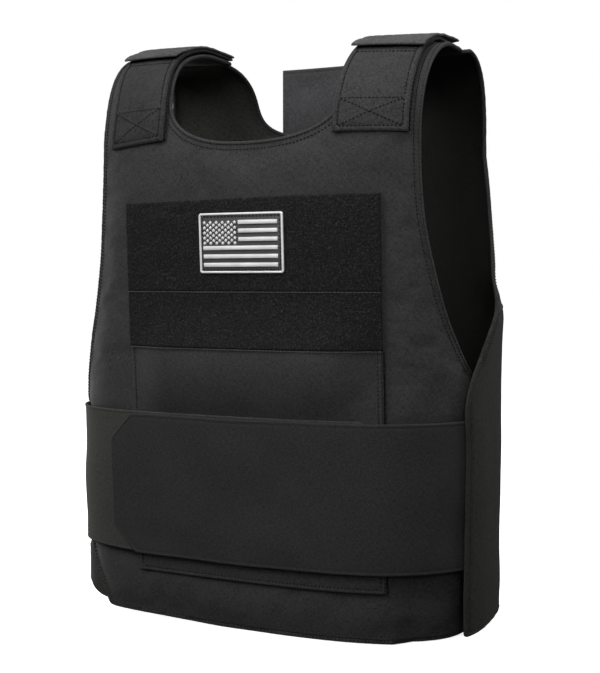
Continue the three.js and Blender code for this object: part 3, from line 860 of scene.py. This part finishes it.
def back_panel():
    """Padded back with a thin wing round either side; the left one lies over the band, the right inside."""
    turn, climb, quads = panel_grid(BACK_NECK, 1, back_side, back_neck_turn, back_middle, BACK_GRID)
    outline = panel_outline(BACK_NECK, 1, back_side, back_neck_turn)
    outline[:, 1] += hem_lift(*outline.T) * (outline[:, 1] < BASE)
    dense = panel_edge("back_panel_edge", outline, 1, back_rim, wing_share)
    wing, height = wing_share(turn, climb), climb + hem_lift(turn, climb)
    flat = skin(turn, height, back_rim(turn, climb), 1)
    edge = distance_to(flat, dense)
    full = ramp(*PAD_FADE, edge)
    inner, outer = back_layers(turn, climb, padding(full))
    around, z = (turn - 180) * 2.6, flat[:, 2]
    swell = ripple(around, z, 90.0, 21) * 0.5 + ripple(around, z, 36.0, 22) * 0.16
    outer = outer + full * swell * (1 - 0.6 * wing)
    start = skin(turn, height, outer, 1)
    face = settle(start, quads, (edge < PINNED_EDGE) | (wing > 0.5), BACK_SETTLE)
    points, faces = closed_sheet(face, skin(turn, height, inner, 1), quads)
    uv = np.stack([around, climb], -1) * MM
    piece = make_piece("back_panel_pad", points, faces, np.concatenate([uv, uv]), CLOTH)
    body, half = BACK_GRID["rows"][0], BACK_GRID["half"]
    row, column = np.divmod(np.arange(body * 2 * half), 2 * half)
    winged = (np.abs(column - half + 0.5) > WING_COLUMN) & (row < WING_ROW)
    finish_faces(piece, np.pad(winged.astype(float), (0, len(quads) - len(winged))), len(quads))
    shape = (body + 1, 2 * half + 1, 3)
    count = shape[0] * shape[1]
    rows = face[:count].reshape(shape)
    lifts = (skin(turn, height, outer + 1.0, 1) - start)[:count].reshape(shape)
    for sewn, end in ((half - WING_COLUMN, 0), (half + WING_COLUMN, 2 * half)):
        span = slice(min(sewn, end), max(sewn, end) + 1)
        seam("back_panel_stitches", rows[2:WING_ROW, sewn], lifts[2:WING_ROW, sewn])
        seam("back_panel_stitches", rows[WING_ROW, span], lifts[WING_ROW, span])
    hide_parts("back_panel")


front_panel()
back_panel()

# Pocket, loop fields and patch on the front


def front_seam(group, corners, out, swell=None):
    """Stitch row on the front along straight legs between corners given as x and height."""
    x, z = resample(np.array(corners, float), 1.5).T
    out = out + (0 * x if swell is None else swell(x, z))
    points = front_at(x, z, out)
    seam(group, points, front_at(x, z, out + 1.0) - points)


def front_grid(low, high, half, step, edges=None):
    """Places across and up of a rectangle on the front, and the distance to its nearest edge."""
    fine = {} if edges is None else {"fine": edges}
    x, z = np.meshgrid(spaced(2 * half, step, **fine) - half, spaced(high - low, step, **fine) + low)
    edge = np.minimum(half - np.abs(x), np.minimum(z - low, high - z))
    return x + FRONT_X, z, edge


def belly(x, z):
    """How far the pocket and its loop fields swell out above the band."""
    across = ramp(0, 45, POCKET["half"] - np.abs(x - FRONT_X))
    below = np.maximum(1 - (np.maximum(238 - z, 0) / 48) ** 2, 0)
    return 12.0 * across * below * np.exp(-(np.maximum(z - 238, 0) / 36) ** 2)


def fold(x, z, start, end, width):
    """Soft crease between two places: a Gaussian of the distance from the line, fading towards its ends."""
    (x0, z0), (x1, z1) = start, end
    long = math.hypot(x1 - x0, z1 - z0)
    along = ((x - x0) * (x1 - x0) + (z - z0) * (z1 - z0)) / long
    away = ((x - x0) * (z1 - z0) - (z - z0) * (x1 - x0)) / long
    ends = ramp(0, 0.3 * long, along) * (1 - ramp(0.7 * long, long, along))
    return ends * np.exp(-(away / width) ** 2)


def slanted(x, z):
    """Heights on the pocket with its top edge raised a little, more towards the wearer's left."""
    share = np.maximum((z - FIELD["split"]) / (POCKET["high"] - FIELD["split"]), 0)
    return z + share * (2.8 + 1.6 * (x - FRONT_X) / POCKET["half"])


def front_pocket():
    """Flat pocket: turned edges with a stitch row, and a soft belly between the loop fields and the band."""
    low, high, half = POCKET["low"], POCKET["high"], POCKET["half"]
    x, z, edge = front_grid(low, high, half, 4.0)
    swell = ripple(x, z, 70.0, 31) * 0.3 * ramp(4, 30, edge) + belly(x, z)
    swell = swell - 0.7 * fold(x, z, (60, 184), (124, 222), 7) - 0.5 * fold(x, z, (92, 180), (122, 236), 5)
    row, thick = 4.2, 1.2 * rounded(edge, 1.3)
    outer = POCKET_LAYER + thick + turned_edge(edge, row, 0.3) + swell
    inner = POCKET_LAYER - thick + swell
    piece = sheet_piece("front_pocket_sheet", lambda out: front_at(x, slanted(x, z), out), inner, outer,
                        CLOTH)
    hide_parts("front_pocket")
    right, left, top = FRONT_X - half, FRONT_X + half, FIELD["low"] - 1
    corners = [(right + row, high - row), (right + row, low + row), (left - row, low + row),
               (left - row, high - row)]
    front_seam("front_pocket_stitches", corners, 3.75)
    front_seam("front_pocket_stitches", [(left - 1.4, low + 1.6), (left - 1.4, top)], 3.95)
    # Dark cord beside the pocket's edge towards the wearer's left: a painted shadow of the raised edge
    front_seam("front_pocket_piping", [(left + 0.7, low), (left + 0.7, top)], 0.9)


def loop_field(name, low, high, seed, node):
    """Strip of loop pile: a thin sheet whose face is broken up into small random tufts."""
    half = POCKET["half"]
    x, z, edge = front_grid(low, high, half, 1.0, (0, 0.5, 1.1))
    tuft = np.random.default_rng(seed).random(x.shape)
    pile = 0.5 + (0.5 + 0.8 * tuft) * ramp(0, 1.2, edge) + 0.15 * ripple(x, z, 22.0, seed + 1)
    inner = FIELD_LAYER + belly(x, z)
    outer = inner + pile
    piece = sheet_piece(name, lambda out: front_at(x, slanted(x, z), out), inner, outer, LOOP)
    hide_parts(node)


front_pocket()
loop_field("loop_pile_upper", FIELD["split"] + 0.6, POCKET["high"], 41, "loop_field_upper")
loop_field("loop_pile_lower", FIELD["low"], FIELD["split"], 43, "loop_field_lower")


def patch_at(p, q, out):
    """Point of the patch at a place from its middle."""
    return front_at(FRONT_X + p, PATCH["middle"] + q, out)


def rounded_loop(width, height, corner, steps=8):
    """Rectangle with round corners as a closed loop of points, counter-clockwise."""
    angle = np.radians(np.arange(steps + 1) * 90 / steps)
    arc = np.stack([np.cos(angle), np.sin(angle)], -1) * corner
    shift = np.array([(1, 1), (-1, 1), (-1, -1), (1, -1)]) * [width / 2 - corner, height / 2 - corner]
    turns = [np.array([[c, -s], [s, c]]) for c, s in ((1, 0), (0, 1), (-1, 0), (0, -1))]
    return np.concatenate([arc @ turn.T + move for turn, move in zip(turns, shift)])


def patch_block(loops):
    """Relief block: rings of points from its foot up and over its face, closed by one face at either end."""
    count = len(loops[0][0])
    points = np.concatenate([patch_at(ring[:, 0], ring[:, 1], out) for ring, out in loops])
    faces = grid_quads(len(loops), count, (False, True)).tolist()
    faces.append(list(range(count))[::-1])
    faces.append(list(range((len(loops) - 1) * count, len(loops) * count)))
    return points, faces


def patch_parts(name, blocks, finish):
    """One piece from several relief blocks."""
    points, faces, start = [], [], 0
    for block in blocks:
        got, quads = patch_block(block)
        points.append(got)
        faces += [[i + start for i in face] for face in quads]
        start += len(got)
    points = np.concatenate(points)
    return make_piece(name, points, faces, points[:, [0, 2]] * MM, finish)


def bar(p0, q0, p1, q1, foot, top, soft=0.35):
    """Raised bar between two corners, with softened upper edges; many points along it follow the bend."""
    across = np.linspace(p0, p1, 14)
    legs = (across, q0), (across[::-1], q1)
    ring = np.concatenate([np.stack([leg, np.full(len(leg), q)], 1) for leg, q in legs])
    middle = np.array([(p0 + p1) / 2, (q0 + q1) / 2])
    size = np.array([abs(p1 - p0), abs(q1 - q0)]) / 2
    shrunk = middle + (ring - middle) * (1 - soft / size)
    return [(ring, foot), (ring, top - soft), (shrunk, top)]


def star(p, q, size, foot, top):
    """Five-pointed star: ten points on two circles."""
    angle = np.radians(90 + 36 * np.arange(10))
    reach = np.where(np.arange(10) % 2 == 0, size, 0.62 * size)
    ring = np.stack([p + reach * np.cos(angle), q + reach * np.sin(angle)], 1)
    middle = np.array([p, q])
    return [(ring, foot), (ring, top - 0.12), (middle + (ring - middle) * 0.85, top)]


def flag_patch():
    """Rubber patch: dark plate, raised pale rim, six pale stripes and a field of fifty stars."""
    width, height, foot = PATCH["width"], PATCH["height"], PATCH_FOOT
    face = foot + 1.0
    plate = rounded_loop(width - 1.0, height - 1.0, 2.6)
    layers = [(plate, foot), (plate, face), (plate * 0.985, face + 0.2)]
    base = patch_parts("flag_patch_plate", [layers], GREY_RUBBER)
    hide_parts("flag_patch")
    rim = 1.9
    outside, inside = rounded_loop(width, height, 2.4), rounded_loop(width - 2 * rim, height - 2 * rim, 1.0)
    rings = [(outside * 0.998, foot)]
    for share, rise in ((0.0, 0.8), (0.15, 1.3), (0.5, 1.5), (0.85, 1.3), (1.0, 0.8), (1.0, 0.1)):
        rings.append((blend(outside, inside, share), face + rise))
    points = np.concatenate([patch_at(ring[:, 0], ring[:, 1], out) for ring, out in rings])
    faces = grid_quads(len(rings), len(outside), (True, True))
    make_piece("flag_patch_rim", points, faces, points[:, [0, 2]] * MM, WHITE_RUBBER)
    first, pitch, half = 17.4, 7.15, 1.75  # top stripe's height, distance between stripes, half a stripe
    stripes = []
    for i in range(6):
        middle = first - pitch * i
        stripes.append(bar(-1.7 if i < 3 else -35.7, middle - half, 34.4, middle + half, face, face + 1.1))
    patch_parts("flag_patch_stripes", stripes, WHITE_RUBBER)
    stars = [star(-34.2 + 2.92 * (2 * i + row % 2), first - 2.17 * row, 1.62, face, face + 0.9)
             for row in range(9) for i in range(6 - row % 2)]
    patch_parts("flag_patch_stars", stars, WHITE_RUBBER)
    row = resample(rounded_loop(width - 6.2, height - 6.2, 1.0), 1.0, closed=True)
    line = patch_at(*row.T, face + 0.25)
    seam("flag_patch_stitches", line, patch_at(*row.T, face + 1.25) - line)


for trim_height, trim_out in ((FIELD["split"] + 0.3, 6.5), (FIELD["low"] - 0.6, 5.6)):
    trim = [(FRONT_X - POCKET["half"] + 1, trim_height), (FRONT_X + POCKET["half"] - 1, trim_height)]
    front_seam("loop_pile_trim", trim, trim_out, belly)
flag_patch()

# Waist bands


def settled(layer, turn):
    """Offset of a band's middle, which comes down on the panel past the pocket."""
    return blend(layer, SIDE_LAYER, ramp(50, 74, np.abs(turn)))


def band_grid(start, end, low, high, step):
    """Turns and heights of a band; start and end are functions of the height."""
    heights = spaced(high - low, step) + low
    long = 430.0
    share = spaced(long, step) / long
    turn = blend(start(heights)[:, None], end(heights)[:, None], share[None])
    return turn, np.broadcast_to(heights[:, None], turn.shape)


def border(points):
    """The outer ring of a grid of points, as one line."""
    ring = np.concatenate([points[0], points[1:, -1], points[-1, ::-1][1:], points[::-1, 0][1:]])
    return resample(ring, 0.8)


def outer_band():
    """Waist band: its free end has cut corners, and its other end lies under the side wing."""
    low, high = BAND["low"], BAND["high"]

    def start(h):
        """Turn of the free end, which steps back towards both corners."""
        cut = np.maximum(0, BAND["corner"] - np.minimum(h - low, high - h))
        return front_turn(BAND["end"] + cut, h)

    turn, height = band_grid(start, lambda h: BAND["side"] + 0 * h, low, high, 4.0)
    flat, along = wall(turn, height, 0.0), turn * 2.2
    edge = distance_to(flat, border(flat))
    swell = ripple(along, height, 75.0, 51) * 0.4 + ripple(along, height, 30.0, 52) * 0.1
    swell = swell * ramp(0, 25, edge)
    droop = 0.5 * ripple(along, 0 * height, 120.0, 53)
    middle, thick = settled(OUTER_LAYER, turn), 0.95 * rounded(edge, 1.1)
    outer = middle + thick + turned_edge(edge, 3.0, 0.28) + swell
    inner = middle - thick + swell
    piece = sheet_piece("waist_band_outer_sheet", lambda out: wall(turn, height + droop, out), inner, outer,
                        BAND_CLOTH)
    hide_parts("waist_band_outer")


def under_band():
    """Inner waist band: comes round from the back and runs on beneath the outer band."""
    low, high, far = BAND["low"] + 1.0, BAND["high"] + 2.2, BAND["far"]
    turn, height = band_grid(lambda h: far + 0 * h, lambda h: front_turn(BAND["under_end"], h),
                             low, high, 4.0)
    flat = wall(turn, height, 0.0)
    edge = distance_to(flat, border(flat))
    middle = np.where(turn < 0, settled(UNDER_LAYER, turn), UNDER_LAYER)
    thick = 0.85 * rounded(edge, 1.1)
    swell = np.minimum(ripple(turn * 2.2, height, 70.0, 61) * 0.3 * ramp(0, 25, edge), 0.1)
    outer = middle + thick + turned_edge(edge, 3.0, 0.2) + swell
    inner = middle - thick + swell
    piece = sheet_piece("waist_band_under_sheet", lambda out: wall(turn, height, out), inner, outer,
                        UNDER_CLOTH)
    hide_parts("waist_band_under")
    rise = np.linspace(low + 4, high - 4, 60)
    for away in (1.6, 9.0):
        sewn = far + away + 0 * rise
        line = wall(sewn, rise, 3.1)
        seam("waist_band_stitches", line, wall(sewn, rise, 4.1) - line)


under_band()
outer_band()

# Shoulder straps, shoulder flaps and the neck flap


def strap_place(hand, p, s):
    """Turn and tilt at a distance across and along a strap; the right one's front end is cut aslant."""
    skew = (STRAP["skew"] if hand < 0 else 0.0) * (0.5 - 0.5 * p / STRAP["half"]) * (1 - ramp(0, 60, s))
    tilt = STRAP["front"] + (s - skew) / CLIMB
    return shoulder_turn(FRONT_X + hand * STRAP["middle"] + p, tilt), tilt


def strap_seam(group, hand, corners, out):
    """Stitch row on a strap along straight legs between corners given as distances across and along."""
    turn, tilt = strap_place(hand, *resample(np.array(corners, float), 1.5).T)
    points = arch(turn, tilt, out)
    seam(group, points, arch(turn, tilt, out + 1.0) - points)


def shoulder_strap(name, hand):
    """Strap over a shoulder: a doubled strip with stitched edges and a crossed box of stitches in front."""
    half, long = STRAP["half"], (STRAP["back"] - STRAP["front"]) * CLIMB
    p, s = np.meshgrid(spaced(2 * half, 3.0) - half, spaced(long, 3.0))
    edge = np.minimum(half - np.abs(p), np.minimum(s, long - s))
    row, box_end = 4.6, 28.5
    thick = 1.25 * rounded(edge, 1.3)
    swell = ripple(p + 200 * hand, s, 40.0, 71) * 0.2 * ramp(6, 18, edge) * ramp(30, 45, s)
    outer = STRAP_LAYER + thick + turned_edge(edge, row, 0.45) + swell
    inner = STRAP_LAYER - thick
    turn, tilt = strap_place(hand, p, s)
    piece = sheet_piece(f"shoulder_strap_{name}_sheet", lambda out: arch(turn, tilt, out), inner, outer,
                        STRAP_CLOTH[hand])
    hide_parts(f"shoulder_strap_{name}")
    group, side = f"shoulder_strap_{name}_stitches", half - row
    box = [(-side, row), (side, row), (side, box_end), (-side, box_end), (-side, row), (side, box_end)]
    strap_seam(group, hand, box, 3.4)
    strap_seam(group, hand, [(-side, box_end), (side, row)], 3.5)
    for across in (-side, side):
        strap_seam(group, hand, [(across, box_end + 3), (across, long - 4)], 3.3)
    # Dark cord beside the strap's edge towards the wearer's left: a painted shadow of the raised edge
    strap_seam(f"shoulder_strap_{name}_piping", hand, [(half + 0.9, 1), (half + 0.9, long - 25)], 1.1)
    lip = (FLAP["front"] - STRAP["front"]) * CLIMB - 5
    strap_seam(group, hand, [(-side, lip), (side, lip)], 3.55)


def shoulder_flap(name, hand):
    """Flap laid over the strap from behind, with its front lip and outer back corner lifted a little."""
    half, long = FLAP["half"], (FLAP["back"][hand > 0] - FLAP["front"]) * CLIMB
    p, s = np.meshgrid(spaced(2 * half, 2.5) - half, spaced(long, 2.5))
    edge = np.minimum(half - np.abs(p), np.minimum(s, long - s))
    x, tilt = FRONT_X + hand * STRAP["middle"] + p, FLAP["front"] + s / CLIMB
    lift = FLAP["lift"] * (1 - ramp(0, 0.3 * long, s))
    lift = lift + FLAP["corner"] * ramp(0, half, hand * p) * ramp(0.6, 1, s / long)
    thick = rounded(edge, 1.2)
    nap = 0.55 * np.random.default_rng(81 + hand).random(p.shape)
    outer = FLAP_LAYER + thick + lift + nap
    inner = FLAP_LAYER - thick + lift
    piece = sheet_piece(f"shoulder_flap_{name}_sheet", lambda out: arch(shoulder_turn(x, tilt), tilt, out),
                        inner, outer, FLAP_CLOTH)
    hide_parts(f"shoulder_flap_{name}")


def neck_flap():
    """Upright flap behind the neckline, bent to the back's plan and sewn along its foot."""
    half, low, high = NECK_FLAP["half"], NECK_FLAP["low"], NECK_FLAP["high"]
    foot = np.degrees(np.arccos(((low - BASE) / RISE) ** (BACK_ARCH_POWER / 2)))
    p, z = np.meshgrid(spaced(2 * half, 3.0) - half, spaced(high - low, 3.0) + low)
    edge = np.minimum(half - np.abs(p), np.minimum(z - low, high - z))
    foot_line = arch(back_turn(MIDDLE + p, BASE), foot, -0.2)
    swell = ripple(p, z, 50.0, 91) * 0.5 * ramp(3, 25, edge)

    def place(out):
        """Points of the flap at an offset towards the neck."""
        return triple(foot_line[..., 0], foot_line[..., 1] + 1.2 - out, z)

    thick = 1.2 * rounded(edge, 1.2)
    front, rear = thick + turned_edge(edge, 4.0, 0.3) + swell, swell - thick
    piece = sheet_piece("neck_flap_sheet", place, rear, front, NECK_CLOTH)
    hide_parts("neck_flap")


for hand_name, hand in (("left", 1), ("right", -1)):
    shoulder_strap(hand_name, hand)
    shoulder_flap(hand_name, hand)
neck_flap()

for group, rows in seams.items():
    make_stitches(group, rows)

# Floor, light and camera


def floor():
    """Plain pale floor, which throws no light back up."""
    mesh = bpy.data.meshes.new("floor")
    far = 12.0
    mesh.from_pydata([(-far, -far, 0), (far, -far, 0), (far, far, 0), (-far, far, 0)], [], [(0, 1, 2, 3)])
    finish = Finish("pale_floor", Roughness=0.9, Specular_IOR_Level=0.0, Emission_Strength=0.8)
    finish.shader.inputs["Base Color"].default_value = (0.92, 0.92, 0.92, 1)
    finish.shader.inputs["Emission Color"].default_value = (1, 1, 1, 1)
    mesh.materials.append(finish.material)
    piece = bpy.data.objects.new("floor", mesh)
    bpy.context.scene.collection.objects.link(piece)
    piece.visible_diffuse = piece.visible_glossy = False


def soft_light(name, place, aim, size, power, spread):
    """Square soft light at a place, turned towards a point, with the spread of its beam in degrees."""
    light = bpy.data.lights.new(name, "AREA")
    light.size, light.energy, light.spread = size, power, math.radians(spread)
    lamp = bpy.data.objects.new(name, light)
    bpy.context.scene.collection.objects.link(lamp)
    lamp.location = place
    lamp.rotation_euler = (Vector(aim) - Vector(place)).to_track_quat("-Z", "Y").to_euler()


def studio():
    """White room for the camera, and a weak light from all round that fades towards the floor."""
    world = bpy.data.worlds.new("white_studio")
    world.use_nodes = True
    nodes, links = world.node_tree.nodes, world.node_tree.links
    height = nodes.new("ShaderNodeSeparateXYZ")
    links.new(nodes.new("ShaderNodeTexCoord").outputs["Generated"], height.inputs[0])
    fade = nodes.new("ShaderNodeMapRange")
    links.new(height.outputs["Z"], fade.inputs[0])
    for socket, value in zip((1, 2, 3, 4), (-0.4, 1.0, *AMBIENT)):
        fade.inputs[socket].default_value = value
    seen = nodes.new("ShaderNodeMix")
    links.new(nodes.new("ShaderNodeLightPath").outputs["Is Camera Ray"], seen.inputs[0])
    links.new(fade.outputs[0], seen.inputs[2])
    seen.inputs[3].default_value = 1.0
    links.new(seen.outputs[0], nodes["Background"].inputs["Strength"])
    nodes["Background"].inputs["Color"].default_value = (1, 1, 1, 1)
    bpy.context.scene.world = world


# Place, aim and size in metres, power in watts and spread in degrees of each light
LIGHTS = {
    "key_light": ((-0.6, -1.6, 1.8), (0.0, 0.0, 0.3), 1.2, 35.0, 180.0),
    "fill_light": ((0.75, -1.25, 0.8), (0.08, -0.1, 0.47), 0.5, 0.72, 46.0),
    "top_light": ((0.2, -0.3, 2.2), (0.0, 0.0, 0.3), 1.2, 18.0, 180.0),
    "left_light": ((-1.6, 0.45, 0.2), (0.0, 0.0, 0.15), 0.9, 22.0, 180.0),
    "right_light": ((1.6, 1.2, 0.8), (0.1, 0.0, 0.25), 0.8, 12.0, 180.0),
}

floor()
for light_name, light_setting in LIGHTS.items():
    soft_light(light_name, *light_setting)
studio()
bpy.context.scene.view_settings.view_transform = "Standard"

lens = bpy.data.cameras.new("camera")
lens.sensor_width, lens.lens = SENSOR, FOCAL * SENSOR / PICTURE_HEIGHT
lens.clip_start, lens.clip_end = 0.05, 60.0
camera = bpy.data.objects.new("camera", lens)
camera.location = (0.4743, -0.9838, 0.308)
camera.rotation_euler = (math.radians(87.3), 0.0, math.radians(25.3))
bpy.context.scene.collection.objects.link(camera)
bpy.context.scene.camera = camera

bpy.context.view_layer.update()
